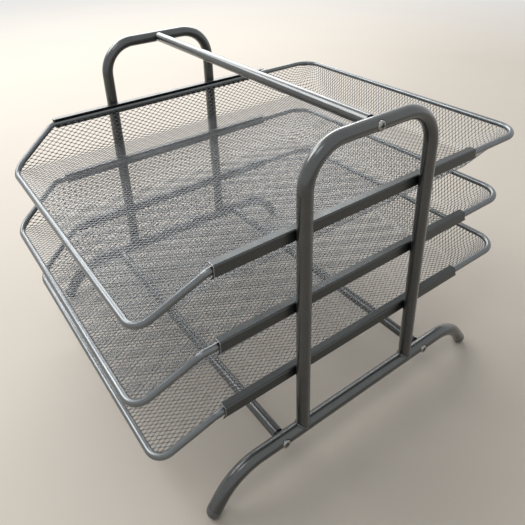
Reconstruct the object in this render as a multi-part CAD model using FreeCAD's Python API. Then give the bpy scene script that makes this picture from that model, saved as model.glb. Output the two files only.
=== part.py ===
import FreeCAD, Part
import math
import os

os.makedirs("parts", exist_ok=True)

# Three-tier letter tray: two welded tube end frames joined by three screwed cross bars,
# and three wire-rimmed trays of expanded metal that slide in channel rails.
# +X is to the right seen from the low front edge of the trays, +Y to the back, +Z up.
# The origin is on the floor, at the middle of the whole object's length and width.

# End frames
FRAME_WIDTH = 288.0
OVERALL_HEIGHT = 258.0
HOOP_TUBE_D = 10.0
HOOP_TUBE_WALL = 1.0
HOOP_LEG_SPACING = 109.0
HOOP_BEND_R = 28.0

# Foot tubes, bent down at both ends and closed with domed caps
FOOT_TUBE_D = 10.6
FOOT_TUBE_WALL = 1.0
FOOT_STRAIGHT_LENGTH = 188.0
FOOT_BEND_R = 40.0
FOOT_BEND_ANGLE = 54.0
CAP_LIP = 1.6
CAP_FLAT_DEPTH = 0.3
CAP_STEM_LENGTH = 8.0
CAP_STEM_CLEARANCE = 0.05
CAP_STEM_END_GAP = 0.9

# Cross bars, their threaded inserts and their screws
BAR_TUBE_D = 8.6
BAR_TUBE_WALL = 1.0
BAR_END_GAP = 0.05
LOWER_BAR_SPACING = 147.0
INSERT_LENGTH = 12.0
INSERT_CLEARANCE = 0.05
SCREW_D = 4.0
SCREW_LENGTH = 16.0
SCREW_THREAD_CLEARANCE = 0.05
SCREW_HOLE_CLEARANCE = 0.25
HEAD_D = 6.8
HEAD_HEIGHT = 2.2
HEAD_EDGE_R = 1.1
HEAD_SEAT_MARGIN = 0.3
RECESS_SPAN = 3.6
RECESS_SLOT = 0.9
RECESS_DEPTH = 1.3

# Channel rails, open towards the middle
RAIL_TOP_HEIGHTS = {"bottom": 87.0, "middle": 143.0, "top": 199.0}
RAIL_HEIGHT = 8.6
RAIL_SHEET = 0.8
RAIL_TOP_FLANGE = 6.0
RAIL_FOOT_FLANGE = 5.3
RAIL_CORNER_R = 1.2
RAIL_LENGTH = 233.0
RAIL_NOSE = 2.5
RAIL_SET_BACK = 2.3
RAIL_FOOT_SETBACK = 0.7
WELD_GAP = 0.05

# Trays
ROD_D = 5.0
ROD_SIDE_CLEARANCE = 0.4
ROD_SLIDE_CLEARANCE = 0.3
STOP_GAP = 0.3
TRAY_SIDE_LENGTH = 302.0
SCOOP_RUN = 42.0
SCOOP_BEND_R = 8.0
FRONT_CORNER_R = 16.0
BACK_CORNER_R = 20.0
FRONT_ROD_DROP = 29.0
FRONT_ROD_WIDTH = 245.6
PAN_DEPTH = 27.0
PAN_SHEET = 0.6
PAN_FLOOR_WIDTH = 243.0
PAN_FLOOR_TAPER = 10.0
PAN_BACK_LEAN = 15.5
PAN_FLOOR_CORNER_R = 38.0
PAN_FOLD_R = 9.0
PAN_ROD_INSET = 1.8
PAN_EDGE_LIFT = 1.4
TRAY_PULLED_OUT = {"bottom": 0.5, "middle": 8.5, "top": 0.0}

# Diamond gaps of the trays' sheets, drawn coarser than the real mesh by one whole factor.
# A gap that a wall's edge would leave smaller than the given share of a whole one is left out.
MESH_SHORT_PITCH = 3.3
MESH_LONG_PITCH = 6.2
MESH_STRAND = 0.6
MESH_COARSENING = 6
MESH_EDGE_MARGIN = 3.0
MESH_SMALLEST_SHARE = 0.2

TIERS = ("bottom", "middle", "top")
SIDES = {"left": -1, "right": 1}
X_AXIS = FreeCAD.Vector(1, 0, 0)
Y_AXIS = FreeCAD.Vector(0, 1, 0)
Z_AXIS = FreeCAD.Vector(0, 0, 1)
ORIGIN = FreeCAD.Vector(0, 0, 0)

# Places worked out from the sizes above, in the frame's own middle plane
frame_x = FRAME_WIDTH / 2
hoop_r = HOOP_TUBE_D / 2
foot_r = FOOT_TUBE_D / 2
bar_r = BAR_TUBE_D / 2
rod_r = ROD_D / 2
foot_turn = math.radians(FOOT_BEND_ANGLE)
foot_bend_setback = FOOT_BEND_R * math.tan(foot_turn / 2)
foot_end_run = foot_bend_setback + CAP_STEM_END_GAP + CAP_STEM_LENGTH + CAP_LIP
foot_tip_z = foot_r - CAP_FLAT_DEPTH
foot_tube_z = foot_tip_z + foot_end_run * math.sin(foot_turn)
leg_y = HOOP_LEG_SPACING / 2
hoop_top_z = OVERALL_HEIGHT - hoop_r
web_outer_x = frame_x - hoop_r - WELD_GAP
web_inner_x = web_outer_x - RAIL_SHEET
rod_x = web_inner_x - ROD_SIDE_CLEARANCE - rod_r
rod_drop = RAIL_HEIGHT - RAIL_SHEET - ROD_SLIDE_CLEARANCE - rod_r
rail_foot_y = RAIL_LENGTH / 2 - RAIL_FOOT_SETBACK
front_corner_x = FRONT_ROD_WIDTH / 2
scoop_turn = math.atan2(math.hypot(FRONT_ROD_DROP, rod_x - front_corner_x), SCOOP_RUN)
bend_y = RAIL_SET_BACK - rail_foot_y - STOP_GAP - SCOOP_BEND_R * math.tan(scoop_turn / 2)
front_y = bend_y - SCOOP_RUN
back_y = bend_y + TRAY_SIDE_LENGTH
rim_x = rod_x - PAN_ROD_INSET
rim_y = back_y - PAN_ROD_INSET
fold_y = rim_y - PAN_BACK_LEAN
middle_lean = rim_x - PAN_FLOOR_WIDTH / 2 + PAN_FLOOR_TAPER / 4
side_fold_reach = PAN_FOLD_R * math.tan(math.atan2(PAN_DEPTH, middle_lean) / 2)
back_fold_reach = PAN_FOLD_R * math.tan(math.atan2(PAN_DEPTH, PAN_BACK_LEAN) / 2)

# The object's middle lies halfway between the foremost and rearmost rods
foremost_y = front_y - max(TRAY_PULLED_OUT.values()) - rod_r
rearmost_y = back_y - min(TRAY_PULLED_OUT.values()) + rod_r
frame_y = -(foremost_y + rearmost_y) / 2


def vec(x, y, z):
    return FreeCAD.Vector(x, y, z)


def save(shape, node):
    """Writes one node, moved from the frame's middle plane to the object's origin."""
    placed = shape.copy()
    placed.translate(vec(0, frame_y, 0))
    placed.exportStep("parts/" + node + ".step")


def mirrored(shape):
    """The same piece for the left side."""
    return shape.mirror(ORIGIN, X_AXIS)


def rod_runs(points, radii, closed):
    """Straight runs and tangent bends of a bent rod: its corners and the bend radius at each."""
    count = len(points)
    corners = range(count) if closed else range(1, count - 1)
    bends = {}
    for i in corners:
        before = (points[i] - points[i - 1]).normalize()
        after = (points[(i + 1) % count] - points[i]).normalize()
        turn = before.getAngle(after)
        setback = radii[i] * math.tan(turn / 2)
        axis = before.cross(after).normalize()
        start = points[i] - before * setback
        end = points[i] + after * setback
        centre = start + axis.cross(before) * radii[i]
        bends[i] = (start, end, centre, axis, math.degrees(turn), before)
    runs = []
    for i in range(count if closed else count - 1):
        after = (i + 1) % count
        run_start = bends[i][1] if i in bends else points[i]
        run_end = bends[after][0] if after in bends else points[after]
        runs.append(("straight", run_start, run_end))
        if after in bends:
            runs.append(("bend",) + bends[after])
    return runs


def bent_rod(points, radii, radius, closed=False):
    """A round rod of the given radius along straight runs and tangent bends."""
    solids = []
    for run in rod_runs(points, radii, closed):
        if run[0] == "straight":
            start, end = run[1], run[2]
            solids.append(Part.makeCylinder(radius, (end - start).Length, start, end - start))
        else:
            start, end, centre, axis, turn, heading = run[1:]
            disc = Part.Face(Part.Wire(Part.makeCircle(radius, start, heading)))
            solids.append(disc.revolve(centre, axis, turn))
    return solids[0].multiFuse(solids[1:]).removeSplitter()


def bent_tube(points, radii, outer_r, wall):
    return bent_rod(points, radii, outer_r).cut(bent_rod(points, radii, outer_r - wall))


def prism(corners, direction):
    """A solid with straight edges, from a closed list of corners and a vector to sweep along."""
    return Part.Face(Part.makePolygon(corners + [corners[0]])).extrude(direction)


def screw_seat_depth(tube_r):
    """Distance from a tube's middle line to the flat on which a screw head sits."""
    return math.sqrt(tube_r ** 2 - (HEAD_D / 2 + HEAD_SEAT_MARGIN) ** 2)


def drilled(tube, tube_r, wall, centre):
    """The tube with a pressed flat for a screw head on its outer side, drilled right through."""
    seat = screw_seat_depth(tube_r)
    seat_r = HEAD_D / 2 + HEAD_SEAT_MARGIN
    outer = Part.makeCylinder(tube_r, 4 * seat_r, centre - Y_AXIS * 2 * seat_r, Y_AXIS)
    boss = Part.makeCylinder(seat_r + wall, wall, centre + X_AXIS * (seat - wall), X_AXIS).common(outer)
    pocket = Part.makeCylinder(seat_r, tube_r, centre + X_AXIS * seat, X_AXIS)
    hole_r = SCREW_D / 2 + SCREW_HOLE_CLEARANCE
    hole = Part.makeCylinder(hole_r, 4 * tube_r, centre - X_AXIS * 2 * tube_r, X_AXIS)
    return tube.fuse(boss).cut(pocket.fuse(hole)).removeSplitter()


def foot_points():
    """Corners of a foot tube's middle line, from the front cap to the back cap."""
    corner_y = FOOT_STRAIGHT_LENGTH / 2 + foot_bend_setback
    tip_y = corner_y + foot_end_run * math.cos(foot_turn)
    front_tip = vec(frame_x, -tip_y, foot_tip_z)
    front_corner = vec(frame_x, -corner_y, foot_tube_z)
    back_corner = vec(frame_x, corner_y, foot_tube_z)
    back_tip = vec(frame_x, tip_y, foot_tip_z)
    return [front_tip, front_corner, back_corner, back_tip]


def cap_mouth(tip, corner):
    """Where a foot tube ends and its cap begins."""
    return tip + (corner - tip).normalize() * CAP_LIP


def foot_bar():
    tip_front, corner_front, corner_back, tip_back = foot_points()
    points = [cap_mouth(tip_front, corner_front), corner_front, corner_back, cap_mouth(tip_back, corner_back)]
    bar = bent_tube(points, [0, FOOT_BEND_R, FOOT_BEND_R, 0], foot_r, FOOT_TUBE_WALL)
    for bar_y in (-LOWER_BAR_SPACING / 2, LOWER_BAR_SPACING / 2):
        bar = drilled(bar, foot_r, FOOT_TUBE_WALL, vec(frame_x, bar_y, foot_tube_z))
    return bar


def foot_cap(tip, corner):
    """A domed cap with a stem that plugs into the foot tube, flat where it meets the floor."""
    up_tube = (corner - tip).normalize()
    mouth = cap_mouth(tip, corner)
    dome = Part.makeSphere(foot_r, tip)
    lip = Part.makeCylinder(foot_r, CAP_LIP, tip, up_tube)
    stem_r = foot_r - FOOT_TUBE_WALL - CAP_STEM_CLEARANCE
    stem = Part.makeCylinder(stem_r, CAP_STEM_LENGTH, mouth, up_tube)
    above_mouth = Part.makeCylinder(2 * foot_r, 2 * foot_r, mouth, up_tube)
    floor_corner = tip - vec(2 * foot_r, 2 * foot_r, foot_r + tip.z)
    below_floor = Part.makeBox(4 * foot_r, 4 * foot_r, foot_r, floor_corner)
    return dome.cut(above_mouth).fuse([lip, stem]).cut(below_floor).removeSplitter()


def foot_caps():
    tip_front, corner_front, corner_back, tip_back = foot_points()
    return Part.makeCompound([foot_cap(tip_front, corner_front), foot_cap(tip_back, corner_back)])


def hoop():
    """An upside-down U tube, coped onto the foot tube, with a flat for the handle screw."""
    points = [
        vec(frame_x, -leg_y, foot_tube_z),
        vec(frame_x, -leg_y, hoop_top_z),
        vec(frame_x, leg_y, hoop_top_z),
        vec(frame_x, leg_y, foot_tube_z),
    ]
    tube = bent_tube(points, [0, HOOP_BEND_R, HOOP_BEND_R, 0], hoop_r, HOOP_TUBE_WALL)
    seat_length = HOOP_LEG_SPACING + 4 * hoop_r
    saddle = Part.makeCylinder(foot_r, seat_length, vec(frame_x, -seat_length / 2, foot_tube_z), Y_AXIS)
    return drilled(tube.cut(saddle), hoop_r, HOOP_TUBE_WALL, vec(frame_x, 0, hoop_top_z))


def rail(top_z):
    """A right-hand channel rail: web outwards, ends cut back, set back from the hoop's middle."""
    base_z = top_z - RAIL_HEIGHT
    full_length = RAIL_LENGTH + 2 * RAIL_NOSE
    nose_y = full_length / 2
    outer_corner = vec(web_outer_x - RAIL_TOP_FLANGE, -nose_y, base_z)
    outer = Part.makeBox(RAIL_TOP_FLANGE, full_length, RAIL_HEIGHT, outer_corner)
    outer = outer.makeFillet(RAIL_CORNER_R, [e for e in outer.Edges if is_web_edge(e)])
    inside_height = RAIL_HEIGHT - 2 * RAIL_SHEET
    inner_corner = vec(web_inner_x - RAIL_TOP_FLANGE, -nose_y, base_z + RAIL_SHEET)
    inside = Part.makeBox(RAIL_TOP_FLANGE, full_length, inside_height, inner_corner)
    channel = outer.cut(inside)
    foot_cut = RAIL_TOP_FLANGE - RAIL_FOOT_FLANGE
    cut_corner = outer_corner - Z_AXIS * RAIL_SHEET
    channel = channel.cut(Part.makeBox(foot_cut, full_length, 2 * RAIL_SHEET, cut_corner))
    for end in (-1, 1):
        channel = channel.cut([end_curve(end, top_z), foot_setback(end, base_z)])
    channel.translate(Y_AXIS * RAIL_SET_BACK)
    return channel


def is_web_edge(edge):
    """True for the two long outer corners of a rail."""
    box = edge.BoundBox
    return box.YLength > RAIL_LENGTH and box.XMin > web_inner_x


def end_curve(end, top_z):
    """What is cut off a rail's end: the top flange square, the web hollowed down to its nose."""
    flange_y = RAIL_LENGTH / 2
    nose_y = flange_y + RAIL_NOSE
    waist_z = top_z - RAIL_HEIGHT / 2
    base_z = top_z - RAIL_HEIGHT
    beyond_y = nose_y + RAIL_HEIGHT
    x = web_outer_x - 2 * RAIL_TOP_FLANGE
    above = top_z + RAIL_SHEET
    bow = Part.Arc(
        vec(x, end * flange_y, waist_z),
        vec(x, end * (flange_y + RAIL_NOSE / 4), (waist_z + base_z) / 2),
        vec(x, end * nose_y, base_z))
    edges = [
        bow.toShape(),
        Part.makeLine(vec(x, end * nose_y, base_z), vec(x, end * beyond_y, base_z)),
        Part.makeLine(vec(x, end * beyond_y, base_z), vec(x, end * beyond_y, above)),
        Part.makeLine(vec(x, end * beyond_y, above), vec(x, end * flange_y, above)),
        Part.makeLine(vec(x, end * flange_y, above), vec(x, end * flange_y, waist_z)),
    ]
    return Part.Face(Part.Wire(edges)).extrude(X_AXIS * 4 * RAIL_TOP_FLANGE)


def foot_setback(end, base_z):
    """What is cut off the bottom flange so that a tray's rod can bend down past it."""
    length = 2 * RAIL_NOSE + RAIL_FOOT_SETBACK
    start_y = end * rail_foot_y - (length if end < 0 else 0)
    corner = vec(web_inner_x - 2 * RAIL_TOP_FLANGE, start_y, base_z - RAIL_SHEET)
    return Part.makeBox(2 * RAIL_TOP_FLANGE, length, 2 * RAIL_SHEET, corner)


def cross_bar(bar_y, bar_z, tube_r):
    """A tube between the two end frames, cut square just clear of their tubes."""
    half = frame_x - tube_r - BAR_END_GAP
    outer = Part.makeCylinder(bar_r, 2 * half, vec(-half, bar_y, bar_z), X_AXIS)
    bore = Part.makeCylinder(bar_r - BAR_TUBE_WALL, 2 * half, vec(-half, bar_y, bar_z), X_AXIS)
    return outer.cut(bore)


def insert(bar_y, bar_z, tube_r):
    """A threaded plug, flush with the bar's right end."""
    end_x = frame_x - tube_r - BAR_END_GAP
    start = vec(end_x - INSERT_LENGTH, bar_y, bar_z)
    plug = Part.makeCylinder(bar_r - BAR_TUBE_WALL - INSERT_CLEARANCE, INSERT_LENGTH, start, X_AXIS)
    hole = Part.makeCylinder(SCREW_D / 2 + SCREW_THREAD_CLEARANCE, INSERT_LENGTH, start, X_AXIS)
    return plug.cut(hole)


def screw(bar_y, bar_z, tube_r):
    """A pan-head screw with a cross recess, its head on the flat of the right end frame."""
    seat = vec(frame_x + screw_seat_depth(tube_r), bar_y, bar_z)
    head = Part.makeCylinder(HEAD_D / 2, HEAD_HEIGHT, seat, X_AXIS)
    rim = [e for e in head.Edges if e.BoundBox.XMin > seat.x + HEAD_HEIGHT / 2 and len(e.Vertexes) == 1]
    head = head.makeFillet(HEAD_EDGE_R, rim)
    shank = Part.makeCylinder(SCREW_D / 2, SCREW_LENGTH, seat - X_AXIS * SCREW_LENGTH, X_AXIS)
    recess_x = seat.x + HEAD_HEIGHT - RECESS_DEPTH
    slots = []
    for span_y, span_z in ((RECESS_SPAN, RECESS_SLOT), (RECESS_SLOT, RECESS_SPAN)):
        corner = vec(recess_x, bar_y - span_y / 2, bar_z - span_z / 2)
        slots.append(Part.makeBox(2 * RECESS_DEPTH, span_y, span_z, corner))
    return head.fuse(shank).cut(slots).removeSplitter()


def pair(shape):
    """The same piece at the left and the right end."""
    return Part.makeCompound([mirrored(shape), shape])


def rounded_corner(before, corner, after, radius):
    """The start, middle and end of the arc that rounds a corner between two other points."""
    back = (before - corner).normalize()
    ahead = (after - corner).normalize()
    half = back.getAngle(ahead) / 2
    setback = radius / math.tan(half)
    inward = (back + ahead).normalize() * (radius / math.sin(half) - radius)
    return [corner + back * setback, corner + inward, corner + ahead * setback]


def fold_half_width(y):
    """Half the floor's width between its two side folds; it narrows towards the back."""
    return PAN_FLOOR_WIDTH / 2 - PAN_FLOOR_TAPER / 2 * (y - front_y) / (fold_y - front_y)


def tray_rod():
    """The rim of a tray: one closed rod, dropped at the front to the level of the floor."""
    points = [
        vec(-rod_x, back_y, 0),
        vec(-rod_x, bend_y, 0),
        vec(-front_corner_x, front_y, -FRONT_ROD_DROP),
        vec(front_corner_x, front_y, -FRONT_ROD_DROP),
        vec(rod_x, bend_y, 0),
        vec(rod_x, back_y, 0),
    ]
    radii = [BACK_CORNER_R, SCOOP_BEND_R, FRONT_CORNER_R, FRONT_CORNER_R, SCOOP_BEND_R, BACK_CORNER_R]
    return bent_rod(points, radii, rod_r, closed=True)


def tub_outline(near_half, rear_half, rear_y, corner_r, z):
    """A pan's outline at one level, square at the front and rounded at the two back corners."""
    near_y = front_y - ROD_D
    near_left = vec(-near_half, near_y, z)
    near_right = vec(near_half, near_y, z)
    rear_left = vec(-rear_half, rear_y, z)
    rear_right = vec(rear_half, rear_y, z)
    left_arc = rounded_corner(near_left, rear_left, rear_right, corner_r)
    right_arc = rounded_corner(rear_left, rear_right, near_right, corner_r)
    edges = [
        Part.makeLine(near_left, left_arc[0]),
        Part.Arc(*left_arc).toShape(),
        Part.makeLine(left_arc[2], right_arc[0]),
        Part.Arc(*right_arc).toShape(),
        Part.makeLine(right_arc[2], near_right),
        Part.makeLine(near_right, near_left),
    ]
    return Part.Wire(edges)


def tub(offset, base_z):
    """A solid tub with leaning sides, grown sideways from the sheet's middle by an offset."""
    drop_share = -base_z / PAN_DEPTH
    near_lean = rim_x - fold_half_width(front_y - ROD_D)
    rear_lean = rim_x - fold_half_width(fold_y)
    top_corner_r = BACK_CORNER_R - PAN_ROD_INSET
    corner_r = top_corner_r + (PAN_FLOOR_CORNER_R - top_corner_r) * drop_share
    base = tub_outline(
        rim_x - near_lean * drop_share + offset,
        rim_x - rear_lean * drop_share + offset,
        rim_y - PAN_BACK_LEAN * drop_share + offset,
        corner_r + offset,
        base_z)
    top = tub_outline(rim_x + offset, rim_x + offset, rim_y + offset, top_corner_r + offset, 0)
    solid = Part.makeLoft([base, top], True, True)
    low_edges = [e for e in solid.Edges if e.BoundBox.ZMax < base_z + PAN_SHEET / 2]
    folds = [e for e in low_edges if e.BoundBox.YMax > front_y]
    return solid.makeFillet(PAN_FOLD_R + offset, folds)


def scoop_cutter():
    """Everything ahead of and above a slanted plane just above the middle of the dropped rod."""
    reach = 2 * (rod_x + ROD_D)
    slope = FRONT_ROD_DROP / SCOOP_RUN
    lift = PAN_EDGE_LIFT * math.hypot(1, slope)
    lead = 4 * ROD_D
    corners = [
        vec(-reach / 2, front_y - lead, lift - FRONT_ROD_DROP - slope * lead),
        vec(-reach / 2, bend_y + lead, lift + slope * lead),
        vec(-reach / 2, front_y - lead, lift + slope * lead),
    ]
    return prism(corners, X_AXIS * reach)


def corner_cutter(side):
    """What lies outside the bend of the rod at one front corner, seen from above."""
    bend = vec(side * rod_x, bend_y, 0)
    corner = vec(side * front_corner_x, front_y, -FRONT_ROD_DROP)
    arc = rounded_corner(bend, corner, corner - X_AXIS * side, FRONT_CORNER_R)
    far_x = side * (rod_x + ROD_D)
    near_y = front_y - ROD_D
    floor_z = -FRONT_ROD_DROP - ROD_D
    high, middle, low = [vec(point.x, point.y, floor_z) for point in arc]
    edges = [
        Part.Arc(high, middle, low).toShape(),
        Part.makeLine(low, vec(low.x, near_y, floor_z)),
        Part.makeLine(vec(low.x, near_y, floor_z), vec(far_x, near_y, floor_z)),
        Part.makeLine(vec(far_x, near_y, floor_z), vec(far_x, high.y, floor_z)),
        Part.makeLine(vec(far_x, high.y, floor_z), high),
    ]
    return Part.Face(Part.Wire(edges)).extrude(Z_AXIS * (FRONT_ROD_DROP + ROD_D))


def inside_floor(x, y, margin):
    """True where a point of the floor lies clear of its folds, its front rod and its corners."""
    half_x = fold_half_width(y) - side_fold_reach - margin
    rear_y = fold_y - back_fold_reach - margin
    near_y = front_y + rod_r + margin
    if abs(x) > half_x or y > rear_y or y < near_y:
        return False
    for centre_y, radius, beyond in (
            (rear_y - PAN_FLOOR_CORNER_R, PAN_FLOOR_CORNER_R, y - rear_y + PAN_FLOOR_CORNER_R),
            (near_y + FRONT_CORNER_R, FRONT_CORNER_R, near_y + FRONT_CORNER_R - y)):
        aside = abs(x) - half_x + radius
        if aside > 0 and beyond > 0 and math.hypot(aside, y - centre_y) > radius:
            return False
    return True


def diamonds(half_across, half_along):
    """Staggered diamonds over a flat area, each as four tips: how far across, how far along."""
    half_short = MESH_SHORT_PITCH * MESH_COARSENING / 2
    half_long = MESH_LONG_PITCH * MESH_COARSENING / 2
    inset = MESH_STRAND * MESH_COARSENING / 2
    share = 1 - inset * math.hypot(half_short, half_long) / (half_short * half_long)
    columns = math.ceil(half_across / half_short)
    rows = math.ceil(half_along / half_long)
    cells = []
    for column in range(-columns, columns + 1):
        for row in range(-rows, rows + 1):
            if (column + row) % 2:
                continue
            across, along = column * half_short, row * half_long
            cells.append([
                (across - half_short * share, along),
                (across, along + half_long * share),
                (across + half_short * share, along),
                (across, along - half_long * share),
            ])
    return cells


def floor_gaps():
    """The gaps of a floor, as prisms that pass through the sheet."""
    floor_z = -PAN_DEPTH - PAN_SHEET
    middle_y = (front_y + back_y) / 2
    gaps = []
    for cell in diamonds(PAN_FLOOR_WIDTH / 2, (back_y - front_y) / 2):
        tips = [(x, middle_y + y) for x, y in cell]
        if all(inside_floor(x, y, MESH_EDGE_MARGIN) for x, y in tips):
            gaps.append(prism([vec(x, y, floor_z) for x, y in tips], Z_AXIS * 2 * PAN_SHEET))
    return gaps


def clipped_gaps(cells, outline, placed):
    """Prisms through a wall for the cells inside its outline; placed turns a pair into a point."""
    normal = (placed(1, 0) - placed(0, 0)).cross(placed(0, 1) - placed(0, 0))
    through = normal * (PAN_SHEET + PAN_FLOOR_TAPER / 4)
    area = prism([placed(*corner) - through for corner in outline], through * 2)
    gaps = []
    for cell in cells:
        gap = prism([placed(*tip) - through for tip in cell], through * 2)
        kept = gap.common(area)
        if kept.Volume > MESH_SMALLEST_SHARE * gap.Volume:
            gaps.append(kept)
    return gaps


def side_wall_gaps(side):
    """The gaps of one side wall, clear of its fold, its rod and its back corner."""
    height = math.hypot(middle_lean, PAN_DEPTH)
    up = vec(side * middle_lean, 0, PAN_DEPTH) / height
    low = side_fold_reach + MESH_EDGE_MARGIN
    high = height - rod_r - MESH_EDGE_MARGIN
    rear = fold_y - PAN_FLOOR_CORNER_R - MESH_EDGE_MARGIN
    middle = vec(side * (rim_x - middle_lean), (front_y + rear) / 2, -PAN_DEPTH)
    slope = SCOOP_RUN / height
    start = front_y + (rod_r + MESH_EDGE_MARGIN) * math.hypot(1, slope) - middle.y
    outline = [
        (low, start + slope * low),
        (low, rear - middle.y),
        (high, rear - middle.y),
        (high, start + slope * high),
    ]
    centre = (low + high) / 2
    cells = [[(a + centre, b) for a, b in cell] for cell in diamonds(centre, (rear - front_y) / 2)]
    return clipped_gaps(cells, outline, lambda a, b: middle + up * a + Y_AXIS * b)


def back_wall_gaps():
    """The gaps of the back wall, clear of its fold, its rod and its two corners."""
    height = math.hypot(PAN_BACK_LEAN, PAN_DEPTH)
    up = vec(0, PAN_BACK_LEAN, PAN_DEPTH) / height
    low = back_fold_reach + MESH_EDGE_MARGIN
    high = height - rod_r - MESH_EDGE_MARGIN
    half = fold_half_width(fold_y) - PAN_FLOOR_CORNER_R - MESH_EDGE_MARGIN
    middle = vec(0, fold_y, -PAN_DEPTH)
    outline = [(-half, low), (half, low), (half, high), (-half, high)]
    centre = (low + high) / 2
    cells = [[(a, b + centre) for a, b in cell] for cell in diamonds(half, centre)]
    return clipped_gaps(cells, outline, lambda a, b: middle + X_AXIS * a + up * b)


def tray_pan(rod):
    """The drawn sheet of a tray, trimmed along the rod that it is welded to."""
    half_sheet = PAN_SHEET / 2
    side_half = half_sheet * math.hypot(1, middle_lean / PAN_DEPTH)
    outer = tub(side_half, -PAN_DEPTH - half_sheet)
    inner = tub(-side_half, -PAN_DEPTH + half_sheet)
    shell = outer.cut(inner)
    shell = shell.cut([scoop_cutter(), corner_cutter(-1), corner_cutter(1), rod])
    shell = max(shell.Solids, key=lambda s: s.Volume)
    return shell.cut(floor_gaps() + side_wall_gaps(-1) + side_wall_gaps(1) + back_wall_gaps())


def build_frame():
    parts = {"hoop": hoop(), "foot_bar": foot_bar(), "foot_caps": foot_caps()}
    for tier in TIERS:
        parts[tier + "_rail"] = rail(RAIL_TOP_HEIGHTS[tier])
    for name, shape in parts.items():
        for side, sign in SIDES.items():
            save(shape if sign > 0 else mirrored(shape), side + "_" + name)


def build_bars():
    half = LOWER_BAR_SPACING / 2
    bars = {
        "handle": ("handle_bar", 0, hoop_top_z, hoop_r),
        "front_bar": ("front_cross_bar", -half, foot_tube_z, foot_r),
        "rear_bar": ("rear_cross_bar", half, foot_tube_z, foot_r),
    }
    for name, (bar_node, bar_y, bar_z, tube_r) in bars.items():
        save(cross_bar(bar_y, bar_z, tube_r), bar_node)
        save(pair(insert(bar_y, bar_z, tube_r)), name + "_inserts")
        save(pair(screw(bar_y, bar_z, tube_r)), name + "_screws")


def build_trays():
    rod = tray_rod()
    pan = tray_pan(rod)
    for tier in TIERS:
        place = vec(0, -TRAY_PULLED_OUT[tier], RAIL_TOP_HEIGHTS[tier] - rod_drop)
        for name, shape in (("rim", rod), ("pan", pan)):
            placed = shape.copy()
            placed.translate(place)
            save(placed, tier + "_tray_" + name)


build_frame()
build_bars()
build_trays()
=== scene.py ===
import math

import bpy
import numpy as np
from mathutils import Matrix, Vector


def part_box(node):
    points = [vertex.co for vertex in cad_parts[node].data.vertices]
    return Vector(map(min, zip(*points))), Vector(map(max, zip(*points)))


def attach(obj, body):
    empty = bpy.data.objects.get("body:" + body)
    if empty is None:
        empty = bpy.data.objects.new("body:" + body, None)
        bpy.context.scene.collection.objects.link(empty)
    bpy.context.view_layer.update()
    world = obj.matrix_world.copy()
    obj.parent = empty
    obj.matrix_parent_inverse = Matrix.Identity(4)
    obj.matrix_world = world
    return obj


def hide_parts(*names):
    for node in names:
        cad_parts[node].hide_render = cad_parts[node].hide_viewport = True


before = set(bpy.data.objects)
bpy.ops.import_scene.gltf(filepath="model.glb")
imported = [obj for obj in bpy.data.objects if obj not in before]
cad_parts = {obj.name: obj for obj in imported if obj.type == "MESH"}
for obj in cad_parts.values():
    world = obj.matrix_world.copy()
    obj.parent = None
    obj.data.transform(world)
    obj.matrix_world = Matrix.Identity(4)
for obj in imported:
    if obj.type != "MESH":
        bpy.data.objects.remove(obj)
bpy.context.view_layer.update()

# Three-tier letter tray: painted tube end frames, three cross bars and three sliding trays of
# expanded metal. Lengths are in metres, except in the functions that weave the trays, which
# work in millimetres.

MM = 0.001
TIERS = ("bottom", "middle", "top")
SIDES = {"left": -1, "right": 1}

# Camera, placed from the middle of the frame on the floor
PHOTO_WIDTH_PX = 525
CAMERA_PLACE = Vector((0.34927, -0.22888, 0.37964))
CAMERA_LOOK = Vector((-0.7214, 0.5108, -0.4676))
CAMERA_RIGHT = Vector((0.5896, 0.8072, -0.0279))
CAMERA_FOCAL_PX = 547.87
CAMERA_CENTRE_DROP_PX = 87.5
CAMERA_CLIP_START = 0.01
SENSOR_WIDTH_MM = 36.0

# Round stock and sheet, in millimetres
ROD_R = 2.5
HOOP_R = 5.0
FOOT_R = 5.3

# Rod and pan of a tray, in millimetres
SCOOP_RUN = 42.0
FRONT_ROD_HALF = 122.8
FRONT_CORNER_R = 16.0
FRONT_CORNER_STEPS = 12
PAN_ABOVE_FRONT_ROD = 2.0
PAN_FLOOR_HALF = 121.5
PAN_FLOOR_TAPER = 5.0
PAN_ROD_INSET = 1.8
PAN_BACK_LEAN = 15.5
PAN_FLOOR_CORNER_R = 38.0
PAN_TOP_CORNER_R = 18.2
PAN_FOLD_R = 9.0
PAN_EDGE_LIFT = 1.4

# How far the nose of a rail's end reaches past its flanges, in millimetres
RAIL_NOSE = 2.5

# Search for a wall's height, between two shares of the pan's depth
LOWEST_SHARE = -1.0
HIGHEST_SHARE = 1.8
HALVINGS = 22

# Step in millimetres for slopes worked out on the pan, and the least slope that is counted
SURFACE_STEP = 0.05
LEAST_SLOPE = 0.01

# Expanded metal, in millimetres
MESH_SHORT_PITCH = 3.45
MESH_LONG_PITCH = 6.2
MESH_STRAND = 0.44
MESH_THICKNESS = 0.20
MESH_BOND = 1.5
MESH_TILT = math.radians(-15)
SHORTEST_STRAND = 2 * MESH_LONG_PITCH
SAMPLE_STEP = 0.2

# How much longer a wall is drawn than the flat sheet that it comes from
SIDE_STRETCH = 1.13
BACK_STRETCH = 1.02

# How far the flat sheet is searched past floor and rod, in depths of the pan
SIDE_SEARCH = 2
BACK_SEARCH = 3

# Weld beads, in millimetres
BEAD_R = 0.45
BEAD_SWELL = 0.6
BEAD_RIPPLE = 0.12
BEAD_RIPPLES = 18
BEAD_STEPS = 72
BEAD_SIDES = 10

frame_y = (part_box("handle_bar")[0].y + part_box("handle_bar")[1].y) / 2
hoop_x = (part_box("right_hoop")[0].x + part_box("right_hoop")[1].x) / 2
foot_z = (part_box("front_cross_bar")[0].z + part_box("front_cross_bar")[1].z) / 2


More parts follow.
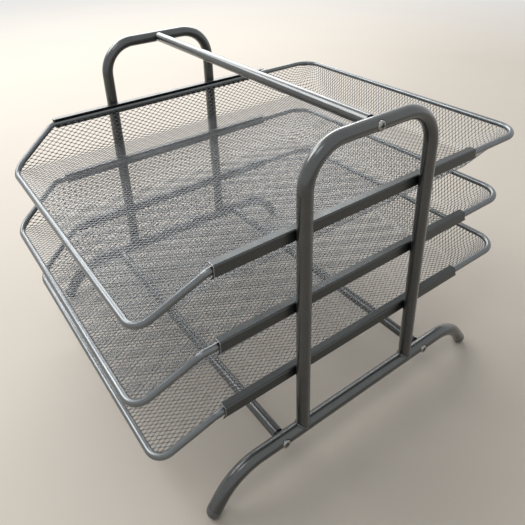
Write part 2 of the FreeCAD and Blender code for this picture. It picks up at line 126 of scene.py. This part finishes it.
def tray_sizes(tier):
    """Places of a tray's rod, in millimetres, read from the frame."""
    low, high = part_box(tier + "_tray_rim")
    return {
        "rod_x": high.x / MM - ROD_R,
        "front_y": low.y / MM + ROD_R,
        "back_y": high.y / MM - ROD_R,
        "front_z": low.z / MM + ROD_R,
        "rim_z": high.z / MM - ROD_R,
    }


tray = tray_sizes("top")
rod_drop = tray["rim_z"] - tray["front_z"]
pan_depth = rod_drop - PAN_ABOVE_FRONT_ROD
rim_x = tray["rod_x"] - PAN_ROD_INSET
rim_y = tray["back_y"] - PAN_ROD_INSET
fold_y = rim_y - PAN_BACK_LEAN
back_turn = math.atan2(pan_depth, PAN_BACK_LEAN)
flat_y = fold_y - PAN_FOLD_R * math.tan(back_turn / 2)


# Surface of the pan

def fold_half_width(y):
    """Half the floor's width between its side folds, which close in towards the back."""
    way = np.clip((y - tray["front_y"]) / (fold_y - tray["front_y"]), 0, 1)
    return PAN_FLOOR_HALF - PAN_FLOOR_TAPER * way


def fold_out(path, turn):
    """How far out a sheet gets that is folded up by a turn, at a distance along the sheet."""
    bent = np.clip(path, 0, PAN_FOLD_R * turn) / PAN_FOLD_R
    straight = np.maximum(path - PAN_FOLD_R * turn, 0)
    return np.where(path < 0, path, PAN_FOLD_R * np.sin(bent) + straight * np.cos(turn))


def wall_height(x, y):
    """Height of the leaning walls over a point, as if they met the floor in a sharp fold."""
    half = fold_half_width(y)
    low = np.full_like(x, LOWEST_SHARE)
    high = np.full_like(x, HIGHEST_SHARE)
    for _ in range(HALVINGS):
        share = (low + high) / 2
        corner_r = PAN_FLOOR_CORNER_R + (PAN_TOP_CORNER_R - PAN_FLOOR_CORNER_R) * share
        aside = x - half - (rim_x - half) * share + corner_r
        behind = y - fold_y - PAN_BACK_LEAN * share + corner_r
        rounded = np.hypot(np.maximum(aside, 0), np.maximum(behind, 0))
        outside = np.maximum(np.maximum(aside, behind), rounded) > corner_r
        low = np.where(outside, share, low)
        high = np.where(outside, high, share)
    return (low + high) / 2 * pan_depth


def pan_height(x, y):
    """Height of the pan above its floor, with the fold rounded."""
    sharp = wall_height(x, y)
    rise_x = wall_height(x + SURFACE_STEP, y) - sharp
    rise_y = wall_height(x, y + SURFACE_STEP) - sharp
    slope = np.maximum(np.hypot(rise_x, rise_y) / SURFACE_STEP, LEAST_SLOPE)
    turn = np.arctan(slope)
    out = sharp / slope + PAN_FOLD_R * np.tan(turn / 2)
    on_arc = np.clip(out, 0, PAN_FOLD_R * np.sin(turn))
    arc = PAN_FOLD_R - np.sqrt(PAN_FOLD_R ** 2 - on_arc ** 2)
    return np.where(out > on_arc, np.maximum(sharp, 0), arc)


def pan_surface(u, v):
    """Where a point of the flat sheet lies once the sheet is drawn into a pan."""
    half = fold_half_width(v)
    side_turn = np.arctan2(pan_depth, rim_x - half)
    flat_x = half - PAN_FOLD_R * np.tan(side_turn / 2)
    side_path = np.abs(u) - flat_x
    side_path = np.where(side_path > 0, side_path * SIDE_STRETCH, side_path)
    back_path = v - flat_y
    back_path = np.where(back_path > 0, back_path * BACK_STRETCH, back_path)
    x = flat_x + fold_out(side_path, side_turn)
    y = flat_y + fold_out(back_path, back_turn)
    height = pan_height(x, y)
    return np.stack([np.sign(u) * x, y, tray["rim_z"] - pan_depth + height], -1)


def pan_point(u, v, rise):
    """A point raised from the pan's middle surface, towards the paper."""
    along_u = pan_surface(u + SURFACE_STEP, v) - pan_surface(u - SURFACE_STEP, v)
    along_v = pan_surface(u, v + SURFACE_STEP) - pan_surface(u, v - SURFACE_STEP)
    normal = np.cross(along_u, along_v)
    normal /= np.linalg.norm(normal, axis=-1, keepdims=True)
    return pan_surface(u, v) + normal * rise[..., None]


def front_rod_line():
    """The rod's middle line over the front corner, seen from above, as x and y arrays."""
    corner = Vector((FRONT_ROD_HALF, tray["front_y"], 0))
    bend = Vector((tray["rod_x"], tray["front_y"] + SCOOP_RUN, rod_drop))
    up = (bend - corner).normalized()
    inward = Vector((-1, 0, 0))
    half = (math.pi - up.angle(inward)) / 2
    start = corner + inward * FRONT_CORNER_R * math.tan(half)
    centre = corner + (up + inward).normalized() * FRONT_CORNER_R / math.cos(half)
    axis = inward.cross(up).normalized()
    points = [Vector((0, tray["front_y"], 0))]
    for i in range(FRONT_CORNER_STEPS + 1):
        turned = Matrix.Rotation(-2 * half * i / FRONT_CORNER_STEPS, 3, axis) @ (start - centre)
        points.append(centre + turned)
    points.append(bend)
    return np.array([p.x for p in points]), np.array([p.y for p in points])


rod_line_x, rod_line_y = front_rod_line()


def inside_rod(u, v):
    """True where the sheet lies inside the closed rod that it is welded to."""
    point = pan_surface(u, v)
    slope = rod_drop / SCOOP_RUN
    scoop_z = tray["front_z"] + slope * (point[..., 1] - tray["front_y"])
    above_scoop = point[..., 2] > scoop_z + PAN_EDGE_LIFT * math.hypot(1, slope)
    outside_corner = point[..., 1] < np.interp(np.abs(point[..., 0]), rod_line_x, rod_line_y)
    return ~above_scoop & ~outside_corner & (point[..., 2] <= tray["rim_z"])


# Expanded metal

def strand_sections(index):
    """Cross-sections of one strand along the sheet: place across, place along, and its swing."""
    centre = index * MESH_SHORT_PITCH / 2
    half_pitch = MESH_LONG_PITCH / 2
    search_end = tray["back_y"] + BACK_SEARCH * pan_depth
    along = np.arange(tray["front_y"] - MESH_LONG_PITCH, search_end, SAMPLE_STEP)
    kept = along[inside_rod(np.full_like(along, centre), along)]
    if len(kept) < SHORTEST_STRAND / SAMPLE_STEP:
        return None
    first, last = kept[0], kept[-1]
    knots, swings = [], []
    for k in range(math.floor(first / half_pitch) - 1, math.ceil(last / half_pitch) + 2):
        swing = 1.0 if (k + index) % 2 == 0 else -1.0
        knots += [k * half_pitch - MESH_BOND / 2, k * half_pitch + MESH_BOND / 2]
        swings += [swing, swing]
    knots, swings = np.array(knots), np.array(swings)
    inner = knots[(knots > first + SAMPLE_STEP) & (knots < last - SAMPLE_STEP)]
    along = np.concatenate([[first], inner, [last]])
    return centre, along, np.interp(along, knots, swings)


def weave(indexes):
    """Corners and faces of the strands with these indexes, each a closed flat ribbon."""
    us, vs, rises, faces = [], [], [], []
    swing_width = (MESH_SHORT_PITCH / 2 - MESH_STRAND) / 2
    lift = math.tan(MESH_TILT) * MESH_STRAND / 2
    start = 0
    for index in indexes:
        sections = strand_sections(index)
        if sections is None:
            continue
        centre, along, swing = sections
        for edge, face in ((-1, -1), (1, -1), (1, 1), (-1, 1)):
            us.append(centre + swing_width * swing + edge * MESH_STRAND / 2)
            vs.append(along)
            rises.append(-lift * swing + edge * lift + face * MESH_THICKNESS / 2)
        count = len(along)
        corner = start + np.arange(4) * count
        steps = np.arange(count - 1)
        for i in range(4):
            a, b = corner[i], corner[(i + 1) % 4]
            faces.append(np.stack([a + steps, b + steps, b + steps + 1, a + steps + 1], -1))
        faces.append(np.array([corner[::-1], corner + count - 1]))
        start += 4 * count
    points = pan_point(np.concatenate(us), np.concatenate(vs), np.concatenate(rises))
    return points * MM, np.concatenate(faces)


def mesh_from_arrays(name, points, quads):
    """A mesh of quads from plain arrays."""
    mesh = bpy.data.meshes.new(name)
    mesh.vertices.add(len(points))
    mesh.vertices.foreach_set("co", points.astype(np.float32).ravel())
    mesh.loops.add(quads.size)
    mesh.loops.foreach_set("vertex_index", quads.astype(np.int32).ravel())
    mesh.polygons.add(len(quads))
    mesh.polygons.foreach_set("loop_start", np.arange(0, quads.size, 4, dtype=np.int32))
    mesh.update(calc_edges=True)
    mesh.validate()
    return mesh


def add_object(name, mesh, body, material):
    """A new piece of one material that rides on a body."""
    piece = bpy.data.objects.new(name, mesh)
    bpy.context.scene.collection.objects.link(piece)
    mesh.materials.clear()
    mesh.materials.append(material)
    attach(piece, body)
    return piece


def dress_trays(material):
    """The woven sheet of every tray, in a left and a right half."""
    last = math.ceil((PAN_FLOOR_HALF + SIDE_SEARCH * pan_depth) / (MESH_SHORT_PITCH / 2))
    halves = {"left": range(-last, 0), "right": range(0, last + 1)}
    for half, indexes in halves.items():
        points, faces = weave(indexes)
        for tier in TIERS:
            sizes = tray_sizes(tier)
            offset = np.array([0, sizes["front_y"] - tray["front_y"], sizes["rim_z"] - tray["rim_z"]])
            mesh = mesh_from_arrays(tier + "_mesh_" + half, points + offset * MM, faces)
            piece = add_object(tier + "_tray_mesh_" + half, mesh, tier + "_tray", material)
            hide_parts(tier + "_tray_pan")


# Weld beads

def bead_ring(path, radii):
    """Corners and faces of a closed bead that follows a list of points, with a radius at each."""
    points, faces = [], []
    count = len(path)
    for i, (here, radius) in enumerate(zip(path, radii)):
        ahead = (path[(i + 1) % count] - path[i - 1]).normalized()
        outward = ahead.cross(Vector((0, 0, 1))).normalized()
        upward = outward.cross(ahead)
        for j in range(BEAD_SIDES):
            angle = 2 * math.pi * j / BEAD_SIDES
            points.append(here + (outward * math.cos(angle) + upward * math.sin(angle)) * radius)
        for j in range(BEAD_SIDES):
            a = i * BEAD_SIDES
            b = (i + 1) % count * BEAD_SIDES
            k = (j + 1) % BEAD_SIDES
            faces.append((a + j, a + k, b + k, b + j))
    return points, faces


def leg_bead(side, leg_y):
    """The weld where a hoop's leg stands on its foot tube, thickest at the front and the back."""
    path, radii = [], []
    for i in range(BEAD_STEPS):
        angle = 2 * math.pi * i / BEAD_STEPS
        x = HOOP_R * math.cos(angle)
        y = HOOP_R * math.sin(angle)
        z = math.sqrt(FOOT_R ** 2 - x ** 2)
        ripple = BEAD_RIPPLE * math.sin(angle * BEAD_RIPPLES)
        path.append(Vector((side * hoop_x + x * MM, leg_y + y * MM, foot_z + z * MM)))
        radii.append((BEAD_R + BEAD_SWELL * abs(math.sin(angle)) + ripple) * MM)
    return bead_ring(path, radii)


def dress_welds(material):
    """One piece for the leg welds of each side."""
    low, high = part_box("right_hoop")
    front_leg = low.y + HOOP_R * MM
    back_leg = high.y - HOOP_R * MM
    for side_name, side in SIDES.items():
        points, faces = [], []
        for leg_y in (front_leg, back_leg):
            new_points, new_faces = leg_bead(side, leg_y)
            faces += [tuple(i + len(points) for i in face) for face in new_faces]
            points += new_points
        mesh = bpy.data.meshes.new(side_name + "_leg_welds")
        mesh.from_pydata(points, [], faces)
        mesh.polygons.foreach_set("use_smooth", [True] * len(mesh.polygons))
        add_object(side_name + "_leg_welds", mesh, "frame", material)


# Materials. Noise is given in cells for each metre, bumps and the painted edge highlight in metres.

PAINT_DARK = (0.044, 0.047, 0.047)
PAINT_LIGHT = (0.094, 0.100, 0.100)
WIRE_DARK = (0.110, 0.118, 0.121)
WIRE_LIGHT = (0.205, 0.218, 0.224)
MESH_DARK = (0.100, 0.104, 0.107)
MESH_LIGHT = (0.230, 0.238, 0.244)
# Pale colour painted on the rails' sheared flange ends as their highlight
EDGE_HIGHLIGHT_COLOUR = (0.38, 0.38, 0.39)
PLASTIC_DARK = (0.080, 0.083, 0.088)
PLASTIC_LIGHT = (0.120, 0.124, 0.130)
ZINC_DARK = (0.24, 0.24, 0.23)
ZINC_LIGHT = (0.42, 0.42, 0.40)
STEEL_DARK = (0.28, 0.28, 0.28)
STEEL_LIGHT = (0.45, 0.45, 0.45)

FLAKE_CELLS = 4200
CLOUD_CELLS = 60
CLOUD_TINT = 0.82
CLOUD_SHARE = 0.35
PEEL_CELLS = 900
RAIL_PEEL_CELLS = 700
PEEL_HEIGHT = 0.00002
PEEL_STRENGTH = 0.6
# Half width and blend of the painted highlight band on the rails' flange ends
HIGHLIGHT_BAND_HALF = 0.0002
HIGHLIGHT_BAND_BLEND = 0.0001

PLASTIC_CLOUD_CELLS = 120
GRAIN_CELLS = 2500
GRAIN_HEIGHT = 0.00003
GRAIN_STRENGTH = 0.5

TURNING_CELLS = 900
TURNING_STRETCH = (3.0, 0.6, 0.6)
TURNING_HEIGHT = 0.00002
TURNING_STRENGTH = 0.5
STAIN_CELLS = 260
STAIN_TINT = 0.6
STAIN_SHARE = 0.5


def new_material(name):
    material = bpy.data.materials.new(name)
    material.use_nodes = True
    tree = material.node_tree
    tree.nodes.clear()
    shader = tree.nodes.new("ShaderNodeBsdfPrincipled")
    output = tree.nodes.new("ShaderNodeOutputMaterial")
    tree.links.new(shader.outputs["BSDF"], output.inputs["Surface"])
    return material, tree, shader


def noise(tree, cells, detail=2.0, stretch=(1, 1, 1)):
    """Noise in the object's own metres."""
    place = tree.nodes.new("ShaderNodeTexCoord")
    mapping = tree.nodes.new("ShaderNodeMapping")
    mapping.inputs["Scale"].default_value = stretch
    tree.links.new(place.outputs["Object"], mapping.inputs["Vector"])
    texture = tree.nodes.new("ShaderNodeTexNoise")
    texture.inputs["Scale"].default_value = cells
    texture.inputs["Detail"].default_value = detail
    tree.links.new(mapping.outputs["Vector"], texture.inputs["Vector"])
    return texture.outputs["Fac"]


def ranged(tree, value, low, high, from_low=0.3, from_high=0.7):
    """A value moved to another range; the usual one to start from is where noise lies."""
    node = tree.nodes.new("ShaderNodeMapRange")
    node.inputs["From Min"].default_value = from_low
    node.inputs["From Max"].default_value = from_high
    node.inputs["To Min"].default_value = low
    node.inputs["To Max"].default_value = high
    tree.links.new(value, node.inputs["Value"])
    return node.outputs["Result"]


def maths(tree, operation, first, second=0.0):
    """One sum on one or two values, each a number or another node's output."""
    node = tree.nodes.new("ShaderNodeMath")
    node.operation = operation
    for socket, value in zip(node.inputs, (first, second)):
        if isinstance(value, float):
            socket.default_value = value
        else:
            tree.links.new(value, socket)
    return node.outputs["Value"]


def mixed(tree, factor, first, second):
    """A colour between two colours, each a tuple or another node's output."""
    node = tree.nodes.new("ShaderNodeMix")
    node.data_type = "RGBA"
    tree.links.new(factor, node.inputs["Factor"])
    for socket, colour in (("A", first), ("B", second)):
        target = [s for s in node.inputs if s.name == socket and s.type == "RGBA"][0]
        if isinstance(colour, tuple):
            target.default_value = (*colour, 1)
        else:
            tree.links.new(colour, target)
    return [s for s in node.outputs if s.type == "RGBA"][0]


def bumped(tree, shader, height, distance, strength):
    node = tree.nodes.new("ShaderNodeBump")
    node.inputs["Distance"].default_value = distance
    node.inputs["Strength"].default_value = strength
    tree.links.new(height, node.inputs["Height"])
    tree.links.new(node.outputs["Normal"], shader.inputs["Normal"])


def flaked(tree, dark, light):
    """The colour of a paint with fine metal flakes."""
    return mixed(tree, ranged(tree, noise(tree, FLAKE_CELLS, detail=1.0), 0, 1), dark, light)


def glossed(shader, metallic, coat, coat_roughness):
    shader.inputs["Metallic"].default_value = metallic
    shader.inputs["Coat Weight"].default_value = coat
    shader.inputs["Coat Roughness"].default_value = coat_roughness


def metallic_paint(name, dark, light, rough_low, rough_high, coat):
    """Satin paint with fine metal flakes, a little orange peel and uneven gloss."""
    material, tree, shader = new_material(name)
    clouds = noise(tree, CLOUD_CELLS, detail=3.0)
    tint = tuple(CLOUD_TINT * c for c in dark)
    colour = mixed(tree, ranged(tree, clouds, 0, CLOUD_SHARE), flaked(tree, dark, light), tint)
    tree.links.new(colour, shader.inputs["Base Color"])
    tree.links.new(ranged(tree, clouds, rough_low, rough_high), shader.inputs["Roughness"])
    glossed(shader, metallic=0.95, coat=coat, coat_roughness=0.08)
    bumped(tree, shader, noise(tree, PEEL_CELLS), PEEL_HEIGHT, PEEL_STRENGTH)
    return material


def rail_paint(name, dark, light, edge_highlight, rough_low, rough_high):
    """The same paint, with a painted highlight: a pale band on the sheared ends of the rails' flanges.
    """
    material, tree, shader = new_material(name)
    low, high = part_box("right_top_rail")
    flange_half = (high.y - low.y) / 2 - RAIL_NOSE * MM
    place = tree.nodes.new("ShaderNodeTexCoord")
    parts = tree.nodes.new("ShaderNodeSeparateXYZ")
    tree.links.new(place.outputs["Object"], parts.inputs["Vector"])
    distance = maths(tree, "ABSOLUTE", maths(tree, "SUBTRACT", parts.outputs["Y"], (low.y + high.y) / 2))
    # A pale band at the flange ends is painted on as their highlight
    inner = flange_half - HIGHLIGHT_BAND_HALF
    outer = flange_half + HIGHLIGHT_BAND_HALF
    past_inner = ranged(tree, distance, 0, 1, inner, inner + HIGHLIGHT_BAND_BLEND)
    before_outer = ranged(tree, distance, 1, 0, outer, outer + HIGHLIGHT_BAND_BLEND)
    highlight_band = maths(tree, "MULTIPLY", past_inner, before_outer)
    tree.links.new(mixed(tree, highlight_band, flaked(tree, dark, light), edge_highlight), shader.inputs["Base Color"])
    clouds = noise(tree, CLOUD_CELLS, detail=3.0)
    tree.links.new(ranged(tree, clouds, rough_low, rough_high), shader.inputs["Roughness"])
    glossed(shader, metallic=0.9, coat=0.2, coat_roughness=0.15)
    bumped(tree, shader, noise(tree, RAIL_PEEL_CELLS), PEEL_HEIGHT, PEEL_STRENGTH)
    return material


def moulded_plastic(name, dark, light, rough_low, rough_high):
    """Dark plastic with a faint moulded grain."""
    material, tree, shader = new_material(name)
    clouds = noise(tree, PLASTIC_CLOUD_CELLS, detail=3.0)
    tree.links.new(mixed(tree, ranged(tree, clouds, 0, 1), dark, light), shader.inputs["Base Color"])
    tree.links.new(ranged(tree, clouds, rough_low, rough_high), shader.inputs["Roughness"])
    bumped(tree, shader, noise(tree, GRAIN_CELLS), GRAIN_HEIGHT, GRAIN_STRENGTH)
    return material


def plated_metal(name, dark, light, rough_low, rough_high):
    """Bright plated steel with turning marks around the screw's own line, which runs along X."""
    material, tree, shader = new_material(name)
    marks = noise(tree, TURNING_CELLS, detail=3.0, stretch=TURNING_STRETCH)
    blots = noise(tree, STAIN_CELLS, detail=3.0)
    stains = ranged(tree, blots, 0, STAIN_SHARE, from_low=0.5, from_high=0.8)
    dulled = tuple(STAIN_TINT * c for c in dark)
    colour = mixed(tree, stains, mixed(tree, ranged(tree, marks, 0, 1), dark, light), dulled)
    tree.links.new(colour, shader.inputs["Base Color"])
    tree.links.new(ranged(tree, marks, rough_low, rough_high), shader.inputs["Roughness"])
    shader.inputs["Metallic"].default_value = 1.0
    bumped(tree, shader, marks, TURNING_HEIGHT, TURNING_STRENGTH)
    return material


tube_paint = metallic_paint("tube_paint", PAINT_DARK, PAINT_LIGHT, 0.26, 0.36, coat=1.0)
wire_paint = metallic_paint("wire_paint", WIRE_DARK, WIRE_LIGHT, 0.28, 0.36, coat=0.3)
mesh_paint = metallic_paint("mesh_paint", MESH_DARK, MESH_LIGHT, 0.17, 0.26, coat=0.2)
rail_finish = rail_paint("rail_paint", PAINT_DARK, PAINT_LIGHT, EDGE_HIGHLIGHT_COLOUR, 0.30, 0.42)
cap_plastic = moulded_plastic("cap_plastic", PLASTIC_DARK, PLASTIC_LIGHT, 0.34, 0.46)
screw_zinc = plated_metal("screw_zinc", ZINC_DARK, ZINC_LIGHT, 0.20, 0.34)
insert_steel = plated_metal("insert_steel", STEEL_DARK, STEEL_LIGHT, 0.35, 0.5)

NODE_MATERIALS = (
    ("_hoop", tube_paint),
    ("_foot_bar", tube_paint),
    ("_cross_bar", tube_paint),
    ("handle_bar", tube_paint),
    ("_foot_caps", cap_plastic),
    ("_rail", rail_finish),
    ("_inserts", insert_steel),
    ("_screws", screw_zinc),
    ("_rim", wire_paint),
    ("_pan", mesh_paint),
)


def dress_nodes():
    """Every node of the frame gets its finish by its name's ending."""
    for name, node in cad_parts.items():
        material = [m for ending, m in NODE_MATERIALS if name.endswith(ending)][0]
        node.data.materials.clear()
        node.data.materials.append(material)


# Stage, light and camera

FLOOR_COLOUR = (0.66, 0.60, 0.52)
FLOOR_TINT = 0.97
FLOOR_ROUGHNESS = 0.6
FLOOR_CELLS = 4
FLOOR_REACH = 6.0
SKY_COLOUR = (0.86, 0.87, 0.88)
SKY_STRENGTH = 0.42
SKY_SEEN_STRENGTH = 1.0
FADE_START = 1.0
FADE_END = 2.4

LAMP_AIM = (0, 0, 0.12)
LAMPS = {
    "overhead": {"place": (0.3, -0.7, 1.6), "width": 0.5, "height": 0.5, "power": 2},
    "key": {"place": (-1.1, -0.75, 1.4), "width": 0.9, "height": 0.9, "power": 16},
    "left": {"place": (-1.7, 0.65, 1.15), "width": 2.0, "height": 1.0, "power": 28},
}


def seen_directly(tree):
    """One for what the camera, a reflection or glass shows, nought for light that falls on things."""
    path = tree.nodes.new("ShaderNodeLightPath")
    shown = maths(tree, "MAXIMUM", path.outputs["Is Camera Ray"], path.outputs["Is Glossy Ray"])
    return maths(tree, "MAXIMUM", shown, path.outputs["Is Transmission Ray"])


def fade_to_sky(tree, shader):
    """The floor far from the middle looks as pale as the sky, so that no horizon shows."""
    place = tree.nodes.new("ShaderNodeTexCoord")
    length = tree.nodes.new("ShaderNodeVectorMath")
    length.operation = "LENGTH"
    tree.links.new(place.outputs["Object"], length.inputs[0])
    far = ranged(tree, length.outputs["Value"], 0, 1, FADE_START, FADE_END)
    glow = tree.nodes.new("ShaderNodeEmission")
    glow.inputs["Color"].default_value = (*SKY_COLOUR, 1)
    glow.inputs["Strength"].default_value = SKY_SEEN_STRENGTH
    both = tree.nodes.new("ShaderNodeMixShader")
    tree.links.new(maths(tree, "MULTIPLY", far, seen_directly(tree)), both.inputs["Fac"])
    tree.links.new(shader.outputs["BSDF"], both.inputs[1])
    tree.links.new(glow.outputs["Emission"], both.inputs[2])
    output = tree.nodes["Material Output"]
    tree.links.new(both.outputs["Shader"], output.inputs["Surface"])


def build_stage():
    """A wide pale floor with a very faint grain."""
    mesh = bpy.data.meshes.new("floor")
    corners = [(x * FLOOR_REACH, y * FLOOR_REACH, 0) for x, y in ((-1, -1), (1, -1), (1, 1), (-1, 1))]
    mesh.from_pydata(corners, [], [(0, 1, 2, 3)])
    floor = bpy.data.objects.new("floor", mesh)
    bpy.context.scene.collection.objects.link(floor)
    material, tree, shader = new_material("floor_board")
    shade = tuple(FLOOR_TINT * c for c in FLOOR_COLOUR)
    colour = mixed(tree, ranged(tree, noise(tree, FLOOR_CELLS), 0, 1), FLOOR_COLOUR, shade)
    tree.links.new(colour, shader.inputs["Base Color"])
    shader.inputs["Roughness"].default_value = FLOOR_ROUGHNESS
    fade_to_sky(tree, shader)
    mesh.materials.append(material)


def area_light(name, place, width, height, power):
    data = bpy.data.lights.new(name, "AREA")
    data.shape = "RECTANGLE"
    data.size = width
    data.size_y = height
    data.energy = power
    light = bpy.data.objects.new(name, data)
    light.location = place
    light.rotation_mode = "QUATERNION"
    light.rotation_quaternion = (Vector(LAMP_AIM) - Vector(place)).to_track_quat("-Z", "Y")
    light.visible_camera = False
    bpy.context.scene.collection.objects.link(light)


def build_lights():
    for name, lamp in LAMPS.items():
        area_light(name, **lamp)
    world = bpy.data.worlds.new("studio")
    world.use_nodes = True
    tree = world.node_tree
    background = tree.nodes["Background"]
    background.inputs["Color"].default_value = (*SKY_COLOUR, 1)
    strength = ranged(tree, seen_directly(tree), SKY_STRENGTH, SKY_SEEN_STRENGTH, 0, 1)
    tree.links.new(strength, background.inputs["Strength"])
    bpy.context.scene.world = world


def build_camera():
    """The photograph's camera, as it was solved from the object's straight edges."""
    data = bpy.data.cameras.new("camera")
    data.sensor_width = SENSOR_WIDTH_MM
    data.lens = CAMERA_FOCAL_PX * SENSOR_WIDTH_MM / PHOTO_WIDTH_PX
    data.shift_y = -CAMERA_CENTRE_DROP_PX / PHOTO_WIDTH_PX
    data.clip_start = CAMERA_CLIP_START
    camera = bpy.data.objects.new("camera", data)
    back = -CAMERA_LOOK.normalized()
    up = back.cross(CAMERA_RIGHT).normalized()
    right = up.cross(back).normalized()
    turn = Matrix((right, up, back)).transposed()
    camera.matrix_world = Matrix.Translation(CAMERA_PLACE + Vector((0, frame_y, 0))) @ turn.to_4x4()
    bpy.context.scene.collection.objects.link(camera)
    bpy.context.scene.camera = camera


build_camera()
build_stage()
build_lights()
dress_nodes()
dress_trays(mesh_paint)
dress_welds(tube_paint)
bpy.context.scene.view_settings.view_transform = "Standard"
